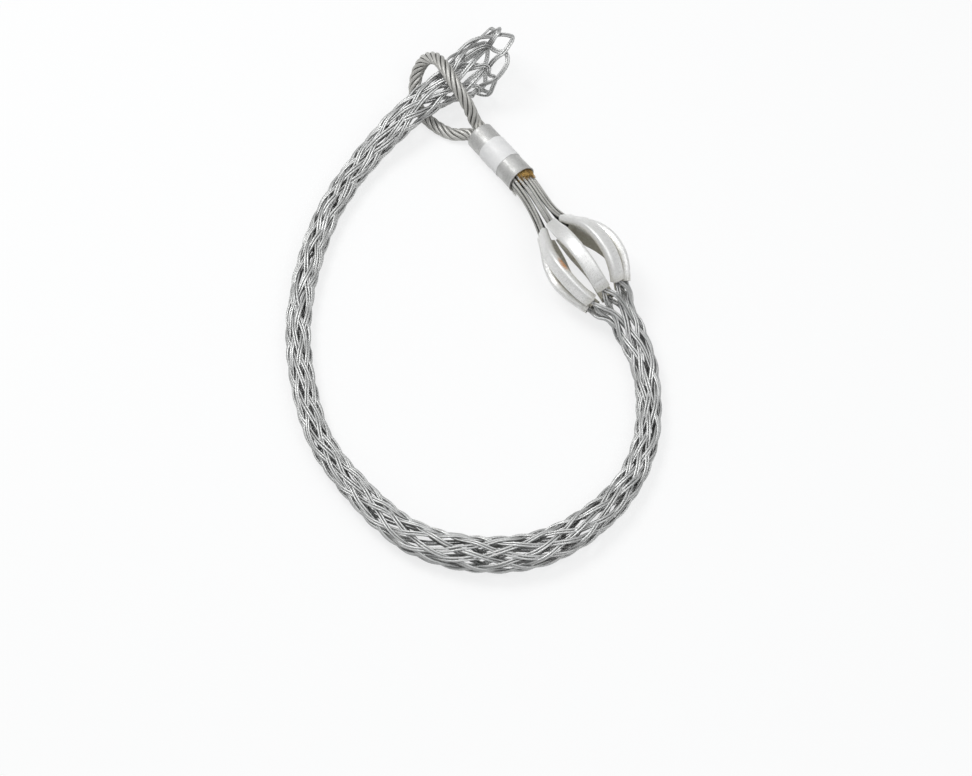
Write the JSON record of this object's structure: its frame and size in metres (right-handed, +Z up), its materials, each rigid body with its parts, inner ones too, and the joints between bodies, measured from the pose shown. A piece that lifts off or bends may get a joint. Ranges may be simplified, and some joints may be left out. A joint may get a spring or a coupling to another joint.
{
  "type": "cable pulling grip",
  "caption": "Woven wire cable pulling grip lying in an open ring, with a rope eye, a pressed ferrule and a shoulder of bent tubes.",
  "frame": {"origin": "middle of the footprint on the floor, at the height of the lowest strand", "axes": "+Z up; +Y from the far side of the ring towards the eye and the mouth of the sleeve; +X to the right, so that the shoulder tubes stand at +X"},
  "size_m": [0.3446, 0.5492, 0.0757],
  "materials": {
    "galvanised_strand": "galvanised, dull with bright crowns",
    "rope_steel": "greased, dull",
    "tube_aluminium": "drawn, bright",
    "pressed_aluminium": "pressed, scratched",
    "label_white": "plain white wrap, bare",
    "core_fibre": "brown fibre"
  },
  "bodies": {
    "root": {"core_end_lower": "core_fibre", "core_end_upper": "core_fibre", "eye_rope": "rope_steel", "ferrule": "pressed_aluminium", "label_band": "label_white", "mesh_pair_1_back": "galvanised_strand", "mesh_pair_1_out": "galvanised_strand", "mesh_pair_2_back": "galvanised_strand", "mesh_pair_2_out": "galvanised_strand", "mesh_pair_3_back": "galvanised_strand", "mesh_pair_3_out": "galvanised_strand", "mesh_pair_4_back": "galvanised_strand", "mesh_pair_4_out": "galvanised_strand", "mesh_pair_5_back": "galvanised_strand", "mesh_pair_5_out": "galvanised_strand", "mesh_pair_6_back": "galvanised_strand", "mesh_pair_6_out": "galvanised_strand", "mesh_pair_7_back": "galvanised_strand", "mesh_pair_7_out": "galvanised_strand", "mesh_pair_8_back": "galvanised_strand", "mesh_pair_8_out": "galvanised_strand", "shoulder_strand_01": "rope_steel", "shoulder_strand_02": "rope_steel", "shoulder_strand_03": "rope_steel", "shoulder_strand_04": "rope_steel", "shoulder_strand_05": "rope_steel", "shoulder_strand_06": "rope_steel", "shoulder_strand_07": "rope_steel", "shoulder_strand_08": "rope_steel", "shoulder_strand_09": "rope_steel", "shoulder_strand_10": "rope_steel", "shoulder_strand_11": "rope_steel", "shoulder_strand_12": "rope_steel", "shoulder_strand_13": "rope_steel", "shoulder_strand_14": "rope_steel", "shoulder_strand_15": "rope_steel", "shoulder_strand_16": "rope_steel", "shoulder_tube_1": "tube_aluminium", "shoulder_tube_2": "tube_aluminium", "shoulder_tube_3": "tube_aluminium", "shoulder_tube_4": "tube_aluminium", "shoulder_tube_5": "tube_aluminium", "shoulder_tube_6": "tube_aluminium", "shoulder_tube_7": "tube_aluminium", "shoulder_tube_8": "tube_aluminium"}
  },
  "joints": []
}
